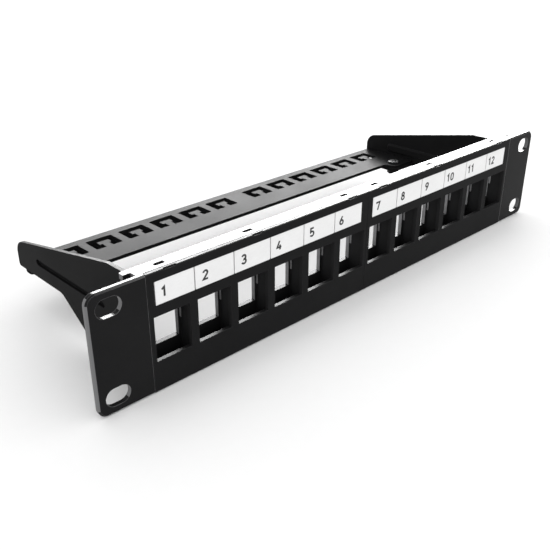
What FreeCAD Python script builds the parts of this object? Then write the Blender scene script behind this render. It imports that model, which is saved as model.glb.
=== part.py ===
import FreeCAD, Part
import math
import os

# 10-inch, one-unit, twelve-port unloaded patch panel with a rear cable tray.
# Everything is drawn in millimetres with x from the panel's centre line, y from its
# front face towards the rear, and z from its lower edge. export() then moves each
# piece so that the origin is the centre of the rack-hole pattern on the ears' rear faces.

# Front frame: two rack ears joined by folded flanges
PANEL_W = 254.0
PANEL_H = 43.6
FRAME_T = 1.8
SHEET_T = 1.5
EAR_INNER_X = 105.9
EAR_CORNER_R = 3.5
EDGE_BEVEL = 0.55
FLANGE_FRONT_Y = 1.64
FLANGE_REAR_Y = 7.3
FLANGE_TIP_X = 111.0
FOLD_END_X = 108.2
RELIEF_REAR_Y = 4.6

# Rack holes: oblong, so that they take screws at the standard 236.5 mm spacing
RACK_DX = 239.0
RACK_DZ = 31.75
RACK_SLOT_L = 9.2
RACK_SLOT_H = 6.6

# Port modules
MODULE_C = 52.9
MODULE_PLATE_W = 105.65
MODULE_PLATE_Z0 = 0.06
MODULE_PLATE_Z1 = 43.54
MODULE_PLATE_T = 1.6
MODULE_BEVEL = 0.25
MODULE_BODY_W = 104.8
MODULE_BODY_Z0 = 5.0
MODULE_BODY_Z1 = 31.0
MODULE_DEPTH = 9.8
PORTS = 6
PORT_PITCH = 17.6
PORT_W = 14.4
PORT_Z0 = 11.5
PORT_Z1 = 27.9
POCKET_Z0 = 6.6
POCKET_LEFT = 0.3
POCKET_RIGHT = 1.35
POCKET_LAST = 0.6
REAR_WALL_Y0 = 7.9
REAR_Z0 = 12.4
REAR_WIDER = 0.35
REAR_FLARE = 0.2
GUIDE_Y0 = 6.95
GUIDE_Z0 = 19.3
GUIDE_DEPTH = 0.25
PRY_NOTCH_W = 5.0
PRY_NOTCH_X = 1.2
PRY_NOTCH_Y = 0.7
PRY_NOTCH_Z = 0.45
FOOT_W = 5.0
FOOT_Y0 = 3.0
FOOT_Y1 = 6.6
FOOT_Z0 = 2.0

# Snap latches along the top of each module
LATCH_X = (-44.9, -7.5, 42.5)
LATCH_W = 3.3
LATCH_Y0 = 3.6
LATCH_T = 1.1
LATCH_TOP_Z = 43.2
LATCH_SLOT_W = 3.9
LATCH_SLOT_Y0 = 3.4
LATCH_SLOT_Y1 = 5.1

# Number cards in the module's label channel
LABEL_Z0 = 31.8
LABEL_Z1 = 40.1
LABEL_EDGES = (-50.1, -34.3, -17.4, -0.5, 16.4, 33.3, 49.1)
LABEL_GAP = 0.22
LABEL_Y0 = 0.1
LABEL_CHANNEL_Y = 0.65

# Side brackets
PLATE_OUTER_X = 107.1
PLATE_FRONT_Y = 2.2
PLATE_REAR_Y = 87.8
PLATE_TOP_REAR_Z = 27.2
PLATE_TOP_FRONT_Y = 20.5
PLATE_TOP_FRONT_Z = 41.1
FOOT_PLATE_X1 = 110.8
FOOT_PLATE_X0 = 106.2
BEAD_Z = 23.6
BEAD_Y0 = 26.0
BEAD_Y1 = 71.0
BEAD_W = 2.6
BEAD_DEPTH = 1.2
BEAD_RIDGE = 0.9
SEAT_INNER_X = 90.0
SEAT_Y0 = 55.6
SEAT_Y1 = 71.0
SEAT_Z0 = 16.8
SEAT_CORNER_R = 2.9

# Cable tray
TRAY_HALF_W = 105.3
TRAY_Z0 = SEAT_Z0 + SHEET_T
TRAY_Y0 = 61.7
TRAY_Y1 = 86.7
TAB_INNER_X = 90.0
TAB_CORNER_R = 2.9
CUT_PITCH = 15.8
CUT_FIRST_X = 11.3
CUT_W = 12.2
CUT_Y0 = 73.1
CUT_Y1 = 82.6
NECK_W = 3.1
NECK_Y1 = 76.4
HEAD_W = 5.4
HEAD_Y1 = 79.2
HEM_Z0 = 12.1
HEM_CORNER_R = 2.2

# Tray screws
SCREW_X = 95.0
SCREW_Y = 60.2
SCREW_HOLE_R = 1.7
SCREW_R = 1.5
SCREW_END_Z = 13.6
HEAD_R = 2.9
HEAD_H = 1.0
NUT_FLATS = 5.5
NUT_H = 2.4
NUT_BORE_R = 1.55


def vec(x, y, z):
    return FreeCAD.Vector(x, y, z)


def box(x0, x1, y0, y1, z0, z1):
    return Part.makeBox(x1 - x0, y1 - y0, z1 - z0, vec(x0, y0, z0))


def prism(points, direction):
    wire = Part.makePolygon(points + [points[0]])
    return Part.Face(wire).extrude(direction)


def corner_edges(shape, axis, places):
    # Edges parallel to the axis that pass through the given places on the other two.
    others = [k for k in range(3) if k != axis]
    found = []
    for edge in shape.Edges:
        a = edge.Vertexes[0].Point
        b = edge.Vertexes[-1].Point
        if abs(a[axis] - b[axis]) < 0.2:
            continue
        for place in places:
            da = max(abs(a[others[k]] - place[k]) for k in range(2))
            db = max(abs(b[others[k]] - place[k]) for k in range(2))
            if max(da, db) < 0.01:
                found.append(edge)
    return found


def round_corners(shape, axis, places, radius):
    return shape.makeFillet(radius, corner_edges(shape, axis, places))


def bevel_front(shape, size, sharp_x=None):
    # All front edges, apart from the upright one at sharp_x.
    edges = []
    for edge in shape.Edges:
        bounds = edge.BoundBox
        upright = bounds.XMax - bounds.XMin < 1e-4
        if upright and sharp_x is not None and abs(bounds.XMin - sharp_x) < 1e-4:
            continue
        if abs(bounds.YMin) < 1e-4 and abs(bounds.YMax) < 1e-4:
            edges.append(edge)
    return shape.makeChamfer(size, edges)


def export(name, shape):
    placed = shape.copy()
    placed.translate(vec(0, -FRAME_T, -PANEL_H / 2))
    placed.exportStep("parts/" + name + ".step")


def rack_slot(side, row):
    x = side * RACK_DX / 2
    z = PANEL_H / 2 + row * RACK_DZ / 2
    r = RACK_SLOT_H / 2
    half = RACK_SLOT_L / 2 - r
    slot = box(x - half, x + half, -1, FRAME_T + 1, z - r, z + r)
    for end in (-half, half):
        slot = slot.fuse(Part.makeCylinder(r, FRAME_T + 2, vec(x + end, -1, z), vec(0, 1, 0)))
    return slot.removeSplitter()


def ear(side):
    x0, x1 = sorted((side * EAR_INNER_X, side * PANEL_W / 2))
    sheet = box(x0, x1, 0, FRAME_T, 0, PANEL_H)
    outer = side * PANEL_W / 2
    sheet = round_corners(sheet, 1, [(outer, 0), (outer, PANEL_H)], EAR_CORNER_R)
    sheet = bevel_front(sheet, EDGE_BEVEL, side * EAR_INNER_X)
    for row in (-1, 1):
        sheet = sheet.cut(rack_slot(side, row))
    return sheet


def flange(z0):
    # Folded back from the ears, free of them past the relief notches at each end.
    sheet = box(-FLANGE_TIP_X, FLANGE_TIP_X, FLANGE_FRONT_Y, FLANGE_REAR_Y, z0, z0 + FRAME_T)
    ends = [(side * FLANGE_TIP_X, FLANGE_REAR_Y) for side in (-1, 1)]
    sheet = round_corners(sheet, 2, ends, 1.0)
    for side in (-1, 1):
        x0, x1 = sorted((side * FOLD_END_X, side * (FLANGE_TIP_X + 1)))
        sheet = sheet.cut(box(x0, x1, -1, RELIEF_REAR_Y, z0 - 1, z0 + FRAME_T + 1))
    return sheet


def front_frame():
    frame = flange(PANEL_H - FRAME_T)
    frame = frame.fuse([flange(0), ear(-1), ear(1)]).removeSplitter()
    cuts = []
    for side in (-1, 1):
        for x in LATCH_X:
            centre = side * MODULE_C + x
            cuts.append(box(centre - LATCH_SLOT_W / 2, centre + LATCH_SLOT_W / 2,
                            LATCH_SLOT_Y0, LATCH_SLOT_Y1, PANEL_H - 5, PANEL_H + 1))
    return frame.cut(cuts)


def bracket_outline():
    under = PANEL_H - FRAME_T
    return [(PLATE_FRONT_Y, FRAME_T), (7.5, FRAME_T), (7.5, 0.5), (31.5, 0.5), (54.0, 16.3),
            (56.0, SEAT_Z0), (PLATE_REAR_Y, SEAT_Z0), (PLATE_REAR_Y, PLATE_TOP_REAR_Z),
            (PLATE_TOP_FRONT_Y, PLATE_TOP_FRONT_Z), (8.5, 41.3), (7.4, under),
            (PLATE_FRONT_Y, under)]


def bead(x0, x1, width):
    # Long round-ended bar lying along the plate, from x0 to x1 through the sheet.
    r = width / 2
    bar = box(x0, x1, BEAD_Y0, BEAD_Y1, BEAD_Z - r, BEAD_Z + r)
    for y in (BEAD_Y0, BEAD_Y1):
        bar = bar.fuse(Part.makeCylinder(r, x1 - x0, vec(x0, y, BEAD_Z), vec(1, 0, 0)))
    return bar.removeSplitter()


def bracket_right():
    inner = PLATE_OUTER_X - SHEET_T
    plate = prism([vec(inner, y, z) for y, z in bracket_outline()], vec(SHEET_T, 0, 0))
    plate = round_corners(plate, 0, [(PLATE_REAR_Y, PLATE_TOP_REAR_Z)], 6.0)
    plate = round_corners(plate, 0, [(PLATE_REAR_Y, SEAT_Z0)], 1.2)
    plate = round_corners(plate, 0, [(31.5, 0.5), (PLATE_TOP_FRONT_Y, PLATE_TOP_FRONT_Z)], 7.0)
    ridge = bead(inner - BEAD_RIDGE, inner + 0.3, BEAD_W + 1.6)
    ridge = bevel_inner(ridge, inner - BEAD_RIDGE, 0.7)
    channel = bead(PLATE_OUTER_X - BEAD_DEPTH, PLATE_OUTER_X + 1, BEAD_W)
    plate = plate.fuse(ridge).cut(channel)
    foot = box(FOOT_PLATE_X0, FOOT_PLATE_X1, FRAME_T, FRAME_T + SHEET_T, 4.0, PANEL_H - 4.0)
    foot = round_corners(foot, 1, [(FOOT_PLATE_X1, 4.0), (FOOT_PLATE_X1, PANEL_H - 4.0)], 2.0)
    seat = box(SEAT_INNER_X, inner + 0.5, SEAT_Y0, SEAT_Y1, SEAT_Z0, TRAY_Z0)
    seat = round_corners(seat, 2, [(SEAT_INNER_X, SEAT_Y0), (SEAT_INNER_X, SEAT_Y1)],
                         SEAT_CORNER_R)
    seat = seat.cut(Part.makeCylinder(SCREW_HOLE_R, 6, vec(SCREW_X, SCREW_Y, SEAT_Z0 - 2)))
    return plate.fuse([foot, seat]).removeSplitter()


def bevel_inner(shape, x, size):
    edges = []
    for edge in shape.Edges:
        bounds = edge.BoundBox
        if abs(bounds.XMin - x) < 1e-4 and abs(bounds.XMax - x) < 1e-4:
            edges.append(edge)
    return shape.makeChamfer(size, edges)


def mirrored(shape):
    return shape.mirror(vec(0, 0, 0), vec(1, 0, 0))


def tie_cut(x):
    # Arch-shaped cut-out that leaves a T-shaped cable-tie anchor standing from its front side.
    top = TRAY_Z0 + SHEET_T
    arch = box(x - CUT_W / 2, x + CUT_W / 2, CUT_Y0, CUT_Y1, TRAY_Z0 - 1, top + 1)
    corners = [(x + s * CUT_W / 2, y) for s in (-1, 1) for y in (CUT_Y0, CUT_Y1)]
    arch = round_corners(arch, 2, corners, 0.6)
    neck = box(x - NECK_W / 2, x + NECK_W / 2, CUT_Y0 - 1, NECK_Y1 + 0.1, TRAY_Z0 - 2, top + 2)
    head = box(x - HEAD_W / 2, x + HEAD_W / 2, NECK_Y1, HEAD_Y1, TRAY_Z0 - 2, top + 2)
    return arch.cut(neck.fuse(head))


def tray_hem():
    # Rear edge folded down, with its two lower corners rounded.
    hem = box(-TRAY_HALF_W, TRAY_HALF_W, TRAY_Y1 - SHEET_T, TRAY_Y1, HEM_Z0, TRAY_Z0 + 0.5)
    corners = [(side * TRAY_HALF_W, HEM_Z0) for side in (-1, 1)]
    return round_corners(hem, 1, corners, HEM_CORNER_R)


def cable_tray():
    top = TRAY_Z0 + SHEET_T
    tray = box(-TRAY_HALF_W, TRAY_HALF_W, TRAY_Y0, TRAY_Y1, TRAY_Z0, top)
    tab = box(TAB_INNER_X, TRAY_HALF_W, SEAT_Y0, TRAY_Y0, TRAY_Z0, top)
    tray = tray.fuse([tab, mirrored(tab)]).removeSplitter()
    waist = [(s * TAB_INNER_X, TRAY_Y0) for s in (-1, 1)]
    nose = [(s * TAB_INNER_X, SEAT_Y0) for s in (-1, 1)]
    tray = round_corners(tray, 2, waist + nose, TAB_CORNER_R)
    outer = [(s * TRAY_HALF_W, SEAT_Y0) for s in (-1, 1)]
    tray = round_corners(tray, 2, outer, 1.5)
    cuts = []
    for side in (-1, 1):
        for k in range(PORTS):
            cuts.append(tie_cut(side * (CUT_FIRST_X + k * CUT_PITCH)))
        cuts.append(Part.makeCylinder(SCREW_HOLE_R, 6, vec(side * SCREW_X, SCREW_Y, TRAY_Z0 - 2)))
    return tray.cut(cuts).fuse(tray_hem()).removeSplitter()


def tray_screw(side):
    x = side * SCREW_X
    z = TRAY_Z0 + SHEET_T
    head = Part.makeCylinder(HEAD_R, HEAD_H, vec(x, SCREW_Y, z))
    head = head.makeFillet(0.4, corner_ring(head, z + HEAD_H))
    for dx, dy in ((1.5, 0.35), (0.35, 1.5)):
        head = head.cut(box(x - dx, x + dx, SCREW_Y - dy, SCREW_Y + dy, z + 0.4, z + 3))
    shank = Part.makeCylinder(SCREW_R, z - SCREW_END_Z, vec(x, SCREW_Y, SCREW_END_Z))
    tip = corner_ring(shank, SCREW_END_Z)
    shank = shank.makeChamfer(0.4, tip)
    return head.fuse(shank).removeSplitter()


def corner_ring(shape, z):
    ring = []
    for edge in shape.Edges:
        if abs(edge.BoundBox.ZMin - z) < 1e-3 and abs(edge.BoundBox.ZMax - z) < 1e-3:
            ring.append(edge)
    return ring


def clinch_nut(side):
    x = side * SCREW_X
    z0 = SEAT_Z0 - NUT_H
    radius = NUT_FLATS / 2 / math.cos(math.pi / 6)
    points = []
    for k in range(6):
        angle = k * math.pi / 3
        points.append(vec(x + radius * math.cos(angle), SCREW_Y + radius * math.sin(angle), z0))
    nut = prism(points, vec(0, 0, NUT_H))
    return nut.cut(Part.makeCylinder(NUT_BORE_R, NUT_H + 2, vec(x, SCREW_Y, z0 - 1)))


def port_left_x(centre, k):
    return centre + (k - (PORTS - 1) / 2) * PORT_PITCH - PORT_W / 2


def port_cut(x0, right):
    # Front opening, the wider and deeper pocket behind it, and the flared rear opening.
    x1 = x0 + PORT_W
    front = box(x0, x1, -1, MODULE_PLATE_T + 0.1, PORT_Z0, PORT_Z1)
    pocket = box(x0 - POCKET_LEFT, x1 + right, MODULE_PLATE_T, REAR_WALL_Y0, POCKET_Z0, PORT_Z1)
    flare = [(x0, REAR_WALL_Y0 - 0.1), (x0, REAR_WALL_Y0), (x0 - REAR_FLARE, MODULE_DEPTH),
             (x0 - REAR_FLARE, MODULE_DEPTH + 1), (x1 + REAR_WIDER + REAR_FLARE, MODULE_DEPTH + 1),
             (x1 + REAR_WIDER + REAR_FLARE, MODULE_DEPTH), (x1 + REAR_WIDER, REAR_WALL_Y0),
             (x1 + REAR_WIDER, REAR_WALL_Y0 - 0.1)]
    rear = prism([vec(x, y, REAR_Z0) for x, y in flare], vec(0, 0, PORT_Z1 - REAR_Z0))
    return front.fuse([pocket, rear])


def port_guide(wall):
    # Upright guide in the pocket's right rear corner, above the jack's spring latch.
    return box(wall - GUIDE_DEPTH, wall + 0.2, GUIDE_Y0, REAR_WALL_Y0 + 0.2,
               GUIDE_Z0, PORT_Z1 + 0.2)


def port_module(centre):
    half = MODULE_PLATE_W / 2
    plate = box(centre - half, centre + half, 0, MODULE_PLATE_T,
                MODULE_PLATE_Z0, MODULE_PLATE_Z1)
    plate = bevel_front(plate, MODULE_BEVEL)
    half = MODULE_BODY_W / 2
    block = box(centre - half, centre + half, MODULE_PLATE_T - 0.2, MODULE_DEPTH,
                MODULE_BODY_Z0, MODULE_BODY_Z1)
    feet = []
    for x in LATCH_X:
        mid = centre + x
        feet.append(box(mid - FOOT_W / 2, mid + FOOT_W / 2, FOOT_Y0, FOOT_Y1,
                        FOOT_Z0, MODULE_BODY_Z0 + 0.2))
    module = plate.fuse([block] + feet)
    cuts = [box(centre + LABEL_EDGES[0] - 0.1, centre + LABEL_EDGES[-1] + 0.1,
                -1, LABEL_CHANNEL_Y, LABEL_Z0 - 0.1, LABEL_Z1 + 0.1)]
    for x in LATCH_X:
        notch = centre + x + PRY_NOTCH_X
        cuts.append(box(notch - PRY_NOTCH_W / 2, notch + PRY_NOTCH_W / 2, -1, PRY_NOTCH_Y,
                        MODULE_PLATE_Z1 - PRY_NOTCH_Z, PANEL_H + 1))
    guides = []
    for k in range(PORTS):
        x0 = port_left_x(centre, k)
        last = k == PORTS - 1
        cuts.append(port_cut(x0, POCKET_LAST if last else POCKET_RIGHT))
        if not last:
            guides.append(port_guide(x0 + PORT_W + POCKET_RIGHT))
    return module.cut(cuts).fuse(guides).removeSplitter()


def latch(x):
    # Springy upright with a wedge head that catches in the slot of the top flange.
    root = MODULE_BODY_Z1
    y1 = LATCH_Y0 + LATCH_T
    profile = [(LATCH_Y0, root), (LATCH_Y0, LATCH_TOP_Z), (y1 - 0.4, LATCH_TOP_Z),
               (y1 + 0.2, LATCH_TOP_Z - 0.9), (y1 + 0.2, 41.4), (y1, 41.4), (y1, 33.0),
               (y1 + 0.8, root)]
    points = [vec(x - LATCH_W / 2, y, z) for y, z in profile]
    return prism(points, vec(LATCH_W, 0, 0))


def latches(centre):
    return Part.makeCompound([latch(centre + x) for x in LATCH_X])


def label_card(centre, k):
    return box(centre + LABEL_EDGES[k] + LABEL_GAP, centre + LABEL_EDGES[k + 1] - LABEL_GAP,
               LABEL_Y0, LABEL_CHANNEL_Y, LABEL_Z0, LABEL_Z1)


def main():
    os.makedirs("parts", exist_ok=True)
    export("front_frame", front_frame())
    right = bracket_right()
    export("right_bracket", right)
    export("left_bracket", mirrored(right))
    export("cable_tray", cable_tray())
    export("tray_screws", Part.makeCompound([tray_screw(-1), tray_screw(1)]))
    export("tray_nuts", Part.makeCompound([clinch_nut(-1), clinch_nut(1)]))
    for side, name in ((-1, "left"), (1, "right")):
        centre = side * MODULE_C
        export(name + "_port_module", port_module(centre))
        export(name + "_module_latches", latches(centre))
        for k in range(PORTS):
            number = k + 1 + (PORTS if side > 0 else 0)
            export("label_%02d" % number, label_card(centre, k))


main()
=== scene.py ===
import math

import bmesh
import bpy
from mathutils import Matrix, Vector

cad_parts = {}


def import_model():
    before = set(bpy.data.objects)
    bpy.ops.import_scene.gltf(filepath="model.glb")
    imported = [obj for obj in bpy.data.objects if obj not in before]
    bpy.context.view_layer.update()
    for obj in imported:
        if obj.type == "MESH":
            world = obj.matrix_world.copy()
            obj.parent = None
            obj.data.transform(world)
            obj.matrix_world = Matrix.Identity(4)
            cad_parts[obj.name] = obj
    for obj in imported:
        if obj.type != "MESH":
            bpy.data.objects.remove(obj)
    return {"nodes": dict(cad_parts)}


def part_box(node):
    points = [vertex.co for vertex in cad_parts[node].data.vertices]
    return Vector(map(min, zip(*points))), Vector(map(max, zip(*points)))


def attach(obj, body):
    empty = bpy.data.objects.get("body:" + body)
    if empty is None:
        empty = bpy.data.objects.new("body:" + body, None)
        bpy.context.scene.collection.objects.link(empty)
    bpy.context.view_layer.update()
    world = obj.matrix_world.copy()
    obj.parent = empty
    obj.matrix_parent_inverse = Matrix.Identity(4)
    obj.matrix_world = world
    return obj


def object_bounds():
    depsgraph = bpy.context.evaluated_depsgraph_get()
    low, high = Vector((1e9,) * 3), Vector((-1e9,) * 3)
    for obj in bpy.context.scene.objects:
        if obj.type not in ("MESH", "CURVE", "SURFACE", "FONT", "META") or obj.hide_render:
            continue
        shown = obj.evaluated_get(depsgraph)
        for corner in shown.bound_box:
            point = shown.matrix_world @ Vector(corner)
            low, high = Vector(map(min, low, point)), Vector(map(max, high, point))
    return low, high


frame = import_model()
CAD_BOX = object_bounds()

# Where the ports' rear jambs begin, and their guide ribs' fronts and lower ends, in metres: the
# bounds of the painted highlight on them.
JAMB_Y = 0.0061
RIB_Y = 0.00515
RIB_Z = -0.0025

# Numbers on the cards: heights and ink in metres. CELL_STRETCH widens a digit's cell
# against its height, and the last three are fractions of the cell.
DIGIT_H = 0.0035
DIGIT_DROP = 0.00012
INK_LIFT = 0.00003
INK_THICKNESS = 0.00002
CELL_STRETCH = 1.14
CELL_WIDTH = 0.56
CELL_ADVANCE = 0.70
HALF_STROKE = 0.098


# ---------------------------------------------------------------- node helpers

class Nodes:
    def __init__(self, name):
        self.mat = bpy.data.materials.new(name)
        self.mat.use_nodes = True
        self.tree = self.mat.node_tree
        self.tree.nodes.clear()
        self.out = self.new("ShaderNodeOutputMaterial")
        self.bsdf = self.new("ShaderNodeBsdfPrincipled")
        self.link(self.bsdf.outputs[0], self.out.inputs["Surface"])
        self.coord = self.new("ShaderNodeTexCoord")

    def new(self, kind, **props):
        node = self.tree.nodes.new(kind)
        for key, value in props.items():
            setattr(node, key, value)
        return node

    def link(self, a, b):
        self.tree.links.new(a, b)

    def noise(self, scale, detail=3.0, rough=0.55, stretch=None):
        node = self.new("ShaderNodeTexNoise")
        node.inputs["Scale"].default_value = scale
        node.inputs["Detail"].default_value = detail
        node.inputs["Roughness"].default_value = rough
        source = self.coord.outputs["Object"]
        if stretch:
            mapping = self.new("ShaderNodeMapping")
            mapping.inputs["Scale"].default_value = stretch
            self.link(source, mapping.inputs["Vector"])
            source = mapping.outputs[0]
        self.link(source, node.inputs["Vector"])
        return node.outputs[0]

    def remap(self, value, lo, hi, out_lo, out_hi):
        node = self.new("ShaderNodeMapRange")
        node.inputs["From Min"].default_value = lo
        node.inputs["From Max"].default_value = hi
        node.inputs["To Min"].default_value = out_lo
        node.inputs["To Max"].default_value = out_hi
        self.link(value, node.inputs["Value"])
        return node.outputs[0]

    def math(self, op, a, b=None):
        node = self.new("ShaderNodeMath", operation=op)
        for k, v in enumerate((a, b)):
            if v is None:
                continue
            if isinstance(v, (int, float)):
                node.inputs[k].default_value = v
            else:
                self.link(v, node.inputs[k])
        return node.outputs[0]

    def mix(self, factor, a, b):
        node = self.new("ShaderNodeMix", data_type="RGBA")
        for socket, value in ((node.inputs[0], factor), (node.inputs[6], a), (node.inputs[7], b)):
            if isinstance(value, (int, float)):
                socket.default_value = value
            elif isinstance(value, tuple):
                socket.default_value = (*value, 1.0)
            else:
                self.link(value, socket)
        return node.outputs[2]

    def edge_mask(self, radius):
        # 0 on flats, 1 on the arris: how far the rounded normal turns from the flat one.
        bevel = self.new("ShaderNodeBevel", samples=6)
        bevel.inputs["Radius"].default_value = radius
        geometry = self.new("ShaderNodeNewGeometry")
        dot = self.new("ShaderNodeVectorMath", operation="DOT_PRODUCT")
        self.link(bevel.outputs[0], dot.inputs[0])
        self.link(geometry.outputs["Normal"], dot.inputs[1])
        return bevel.outputs[0], self.remap(dot.outputs["Value"], 1.0, 0.82, 0.0, 1.0)

    def bump(self, height, strength, distance, normal=None):
        node = self.new("ShaderNodeBump")
        node.inputs["Strength"].default_value = strength
        node.inputs["Distance"].default_value = distance
        self.link(height, node.inputs["Height"])
        if normal is not None:
            self.link(normal, node.inputs["Normal"])
        return node.outputs[0]


def side_wall(n):
    # 1 on upright faces that look sideways: the ports' drafted walls and the sheet's cut ends. It
    #                                        masks the painted light on those faces.
    facing = n.new("ShaderNodeSeparateXYZ")
    n.link(n.coord.outputs["Normal"], facing.inputs[0])
    return n.math("GREATER_THAN", n.math("ABSOLUTE", facing.outputs[0]), 0.7)


def rubbed(n):
    # 1 on the sideways faces of the ports' rear jambs and guide ribs: a painted highlight band,
    # mottled by noise.
    place = n.new("ShaderNodeSeparateXYZ")
    n.link(n.coord.outputs["Object"], place.inputs[0])
    jamb = n.math("GREATER_THAN", place.outputs[1], JAMB_Y)
    rib = n.math("MULTIPLY", n.math("GREATER_THAN", place.outputs[1], RIB_Y),
                 n.math("GREATER_THAN", place.outputs[2], RIB_Z))
    spots = n.remap(n.noise(240.0, 3.0, 0.6), 0.35, 0.6, 0.75, 1.0)
    return n.math("MULTIPLY", n.math("MULTIPLY", n.math("MAXIMUM", jamb, rib), side_wall(n)), spots)


def coated(name, dark, light, edge_wear_and_highlight, rough, level, peel_mm, peel, edge_mm, edge_wear_and_highlight_amount,
           side_painted_light=None, jamb_painted_highlight=None):
    # Black coated or moulded surface: tonal drift, fine texture, smudged gloss, and arrises
    # lightened partly as scuffing, partly as painted highlight; optionally painted light on
    # sideways faces and painted highlight bands on the ports' rear jambs and guide ribs.
    n = Nodes(name)
    drift = n.noise(22.0, 4.0, 0.6)
    speck = n.noise(1400.0, 2.0, 0.6)
    tone = n.math("ADD", n.math("MULTIPLY", drift, 0.75), n.math("MULTIPLY", speck, 0.25))
    base = n.mix(n.remap(tone, 0.3, 0.7, 0.0, 1.0), dark, light)
    rounded, edge = n.edge_mask(edge_mm / 1000)
    # Lighter arrises: partly real edge wear, partly a painted highlight laid along every edge.
    patchy = n.remap(n.noise(160.0, 4.0, 0.65), 0.34, 0.58, 0.25, 1.0)
    scuff_and_highlight = n.math("MULTIPLY", n.math("MULTIPLY", edge, patchy), edge_wear_and_highlight_amount)
    base = n.mix(scuff_and_highlight, base, edge_wear_and_highlight)
    # Painted light: faces that look sideways are lightened towards the side colour.
    if side_painted_light:
        base = n.mix(n.math("MULTIPLY", side_wall(n), 0.9), base, side_painted_light)
    # Painted highlight: light grey bands on the sideways faces of the ports' rear jambs and guide
    # ribs.
    if jamb_painted_highlight:
        base = n.mix(rubbed(n), base, jamb_painted_highlight)
    n.link(base, n.bsdf.inputs["Base Color"])
    smudge = n.noise(38.0, 5.0, 0.62)
    gloss = n.remap(smudge, 0.25, 0.75, rough - 0.05, rough + 0.05)
    gloss = n.math("ADD", gloss, n.math("MULTIPLY", scuff_and_highlight, 0.12))
    n.link(gloss, n.bsdf.inputs["Roughness"])
    n.bsdf.inputs["Specular IOR Level"].default_value = level
    grain = n.noise(1000.0 / peel_mm, 2.0, 0.5)
    n.link(n.bump(grain, peel, 0.00006, rounded), n.bsdf.inputs["Normal"])
    return n.mat


def card_material():
    n = Nodes("label_card")
    fibre = n.noise(900.0, 4.0, 0.7, (1.0, 1.0, 2.5))
    cloud = n.noise(60.0, 3.0, 0.6)
    tone = n.math("ADD", n.math("MULTIPLY", fibre, 0.5), n.math("MULTIPLY", cloud, 0.5))
    base = n.mix(n.remap(tone, 0.3, 0.7, 0.0, 1.0), (0.74, 0.74, 0.74), (0.82, 0.82, 0.82))
    rounded, edge = n.edge_mask(0.00012)
    n.link(n.mix(n.math("MULTIPLY", edge, 0.5), base, (0.55, 0.55, 0.55)),
           n.bsdf.inputs["Base Color"])
    n.link(n.remap(fibre, 0.3, 0.7, 0.5, 0.62), n.bsdf.inputs["Roughness"])
    n.bsdf.inputs["Specular IOR Level"].default_value = 0.35
    n.link(n.bump(fibre, 0.12, 0.00004, rounded), n.bsdf.inputs["Normal"])
    return n.mat


def ink_material():
    n = Nodes("number_ink")
    blot = n.noise(1800.0, 3.0, 0.6)
    n.link(n.mix(n.remap(blot, 0.3, 0.7, 0.0, 1.0), (0.006, 0.006, 0.0065), (0.011, 0.011, 0.0115)),
           n.bsdf.inputs["Base Color"])
    n.link(n.remap(blot, 0.3, 0.7, 0.45, 0.6), n.bsdf.inputs["Roughness"])
    n.link(n.bump(blot, 0.1, 0.00002), n.bsdf.inputs["Normal"])
    return n.mat


FRONT_STEEL = coated(
    "front_powder_coat", dark=(0.0095, 0.0095, 0.0098), light=(0.0135, 0.0135, 0.0139),
    edge_wear_and_highlight=(0.26, 0.26, 0.265), rough=0.24, level=0.035, peel_mm=0.55, peel=0.05,
    edge_mm=0.30, edge_wear_and_highlight_amount=0.8, side_painted_light=(0.17, 0.17, 0.173))
REAR_STEEL = coated(
    "rear_powder_coat", dark=(0.0070, 0.0070, 0.0072), light=(0.0098, 0.0098, 0.0101),
    edge_wear_and_highlight=(0.06, 0.06, 0.062), rough=0.42, level=0.018, peel_mm=0.45, peel=0.06,
    edge_mm=0.22, edge_wear_and_highlight_amount=0.6)
TRAY_STEEL = coated(
    "tray_powder_coat", dark=(0.0070, 0.0070, 0.0072), light=(0.0098, 0.0098, 0.0101),
    edge_wear_and_highlight=(0.05, 0.05, 0.052), rough=0.36, level=0.003, peel_mm=0.45, peel=0.05,
    edge_mm=0.15, edge_wear_and_highlight_amount=0.5)
PLASTIC = coated(
    "moulded_black_plastic", dark=(0.0095, 0.0095, 0.0098), light=(0.0130, 0.0130, 0.0134),
    edge_wear_and_highlight=(0.07, 0.07, 0.072), rough=0.44, level=0.026, peel_mm=0.35, peel=0.05,
    edge_mm=0.20, edge_wear_and_highlight_amount=0.5, side_painted_light=(0.020, 0.020, 0.0206), jamb_painted_highlight=(0.26, 0.26, 0.265))
ZINC = coated(
    "black_zinc", dark=(0.010, 0.010, 0.0105), light=(0.018, 0.018, 0.019),
    edge_wear_and_highlight=(0.10, 0.10, 0.10), rough=0.42, level=0.06, peel_mm=0.25, peel=0.06,
    edge_mm=0.12, edge_wear_and_highlight_amount=0.7)
CARD = card_material()
INK = ink_material()


def dress(node, material):
    mesh = frame["nodes"][node].data
    mesh.materials.clear()
    mesh.materials.append(material)


dress("front_frame", FRONT_STEEL)
for part in ("left_bracket", "right_bracket"):
    dress(part, REAR_STEEL)
dress("cable_tray", TRAY_STEEL)
for part in ("left_port_module", "right_port_module",
             "left_module_latches", "right_module_latches"):
    dress(part, PLASTIC)
for part in ("tray_screws", "tray_nuts"):
    dress(part, ZINC)
for k in range(1, 13):
    dress("label_%02d" % k, CARD)


# ---------------------------------------------------------------- numbers on the cards

def arc(cx, cy, rx, ry, start, end, steps=18):
    points = []
    for i in range(steps + 1):
        a = math.radians(start + (end - start) * i / steps)
        points.append((cx + rx * math.cos(a), cy + ry * math.sin(a)))
    return points


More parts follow.
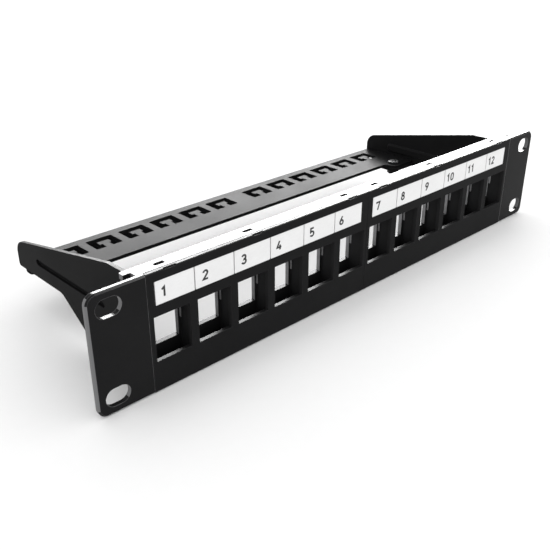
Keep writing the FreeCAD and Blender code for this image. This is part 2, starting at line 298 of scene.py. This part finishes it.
# Strokes on a cell one unit high and 0.56 wide, measured on the stroke's centre line.
GLYPHS = {
    "0": [arc(0.28, 0.66, 0.22, 0.28, 0, 180) + arc(0.28, 0.34, 0.22, 0.28, 180, 360)
          + [(0.50, 0.66)]],
    "1": [[(0.06, 0.74), (0.30, 0.955), (0.30, 0.0)]],
    "2": [arc(0.28, 0.71, 0.21, 0.235, 170, -35) + [(0.06, 0.055), (0.53, 0.055)]],
    "3": [arc(0.27, 0.725, 0.20, 0.225, 160, -80) + arc(0.27, 0.28, 0.225, 0.235, 80, -160)],
    "4": [[(0.34, 0.97), (0.04, 0.27), (0.56, 0.27)], [(0.40, 0.52), (0.40, 0.0)]],
    "5": [[(0.50, 0.945), (0.12, 0.945), (0.09, 0.50)]
          + arc(0.27, 0.32, 0.225, 0.265, 140, -150)],
    "6": [[(0.40, 0.97), (0.10, 0.44)] + arc(0.285, 0.29, 0.22, 0.24, 150, 510)],
    "7": [[(0.04, 0.80), (0.04, 0.945), (0.50, 0.945), (0.20, 0.0)]],
    "8": [arc(0.28, 0.735, 0.175, 0.205, -90, 270), arc(0.28, 0.29, 0.22, 0.24, 90, 450)],
    "9": [[(0.16, 0.0), (0.46, 0.53)] + arc(0.275, 0.70, 0.22, 0.24, -30, 330)],
}


def ribbon(bm, path, half, place):
    # A flat stroke, mitred at its corners, closed where the path comes back to its start.
    closed = len(path) > 8 and math.dist(path[0], path[-1]) < 1e-6
    points = path[:-1] if closed else path
    count = len(points)
    left, right = [], []
    for i, (x, y) in enumerate(points):
        before = points[i - 1] if (i > 0 or closed) else points[i]
        after = points[(i + 1) % count] if (i < count - 1 or closed) else points[i]
        d0 = Vector((x - before[0], y - before[1]))
        d1 = Vector((after[0] - x, after[1] - y))
        d0 = d0.normalized() if d0.length > 1e-9 else d1.normalized()
        d1 = d1.normalized() if d1.length > 1e-9 else d0
        turn = (d0 + d1).normalized()
        spread = half / max(0.45, turn.dot(d1))
        nx, ny = -turn.y * spread, turn.x * spread
        left.append(bm.verts.new(place(x + nx, y + ny)))
        right.append(bm.verts.new(place(x - nx, y - ny)))
    for i in range(count if closed else count - 1):
        j = (i + 1) % count
        bm.faces.new((left[i], right[i], right[j], left[j]))


def number(card, text, from_left, body):
    low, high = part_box(card)
    bm = bmesh.new()
    wide = CELL_STRETCH * DIGIT_H
    advance = CELL_ADVANCE * wide
    width = CELL_WIDTH * wide
    total = advance * (len(text) - 1) + width
    start = low.x + from_left - total / 2
    base = (low.z + high.z) / 2 - DIGIT_H / 2 - DIGIT_DROP
    front = low.y - INK_LIFT
    for i, digit in enumerate(text):
        x0 = start + i * advance
        for path in GLYPHS[digit]:
            ribbon(bm, path, HALF_STROKE,
                   lambda u, v, x0=x0: (x0 + u * wide, front, base + v * DIGIT_H))
    bmesh.ops.recalc_face_normals(bm, faces=bm.faces)
    mesh = bpy.data.meshes.new("number_" + text)
    bm.to_mesh(mesh)
    bm.free()
    mesh.materials.append(INK)
    piece = bpy.data.objects.new("number_" + text, mesh)
    bpy.context.scene.collection.objects.link(piece)
    solid = piece.modifiers.new("ink_thickness", "SOLIDIFY")
    solid.thickness = INK_THICKNESS
    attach(piece, body)


# How far each number's middle stands from its card's left edge, in millimetres.
INSETS = (3.4, 4.2, 4.2, 4.0, 4.1, 3.6, 3.4, 3.8, 3.7, 4.3, 3.9, 4.3)
for k, inset in enumerate(INSETS, 1):
    body = "left_module" if k < 7 else "right_module"
    number("label_%02d" % k, str(k), inset / 1000, body)


# ---------------------------------------------------------------- floor, lights, camera

def floor():
    # Just under the panel's lowest edge.
    bpy.ops.mesh.primitive_plane_add(size=12.0, location=(0, 0, CAD_BOX[0][2] - 0.0002))
    plane = bpy.context.object
    plane.name = "studio_floor"
    n = Nodes("studio_floor")
    grain = n.noise(260.0, 4.0, 0.6)
    n.link(n.mix(grain, (0.87, 0.87, 0.87), (0.89, 0.89, 0.89)), n.bsdf.inputs["Base Color"])
    n.bsdf.inputs["Roughness"].default_value = 0.85
    n.bsdf.inputs["Specular IOR Level"].default_value = 0.03
    plane.data.materials.append(n.mat)


def softbox(name, azimuth, elevation, distance, width, height, power):
    # Shows only as a reflection: the white surroundings light the matt surfaces.
    light = bpy.data.lights.new(name, "AREA")
    light.shape = "RECTANGLE"
    light.size = width
    light.size_y = height
    light.energy = power
    obj = bpy.data.objects.new(name, light)
    a, e = math.radians(azimuth), math.radians(elevation)
    away = Vector((math.sin(a) * math.cos(e), math.cos(a) * math.cos(e), math.sin(e)))
    obj.location = Vector((0, 0.03, 0)) + away * distance
    obj.rotation_euler = away.to_track_quat("Z", "Y").to_euler()
    obj.visible_diffuse = False
    bpy.context.scene.collection.objects.link(obj)


def world():
    sky = bpy.data.worlds.new("studio")
    sky.use_nodes = True
    background = sky.node_tree.nodes["Background"]
    background.inputs[0].default_value = (1.0, 1.0, 1.0, 1.0)
    background.inputs[1].default_value = 1.2
    bpy.context.scene.world = sky


def camera():
    # To the left of the panel and above it, on a normal lens.
    yaw, pitch = math.radians(43.772), math.radians(26.730)
    data = bpy.data.cameras.new("camera")
    data.lens = 48.125
    data.sensor_width = 36.0
    data.clip_start = 0.01
    data.clip_end = 50.0
    obj = bpy.data.objects.new("camera", data)
    obj.location = (-0.21534, -0.17304, 0.12235)
    forward = Vector((math.sin(yaw) * math.cos(pitch), math.cos(yaw) * math.cos(pitch),
                      -math.sin(pitch)))
    obj.rotation_euler = (-forward).to_track_quat("Z", "Y").to_euler()
    bpy.context.scene.collection.objects.link(obj)
    bpy.context.scene.camera = obj


floor()
world()
softbox("back_reflector", 46.0, 26.0, 1.3, 1.3, 0.62, 190.0)
softbox("front_reflector", 127.0, 42.0, 1.3, 0.6, 0.6, 50.0)
camera()
bpy.context.scene.view_settings.view_transform = "Standard"
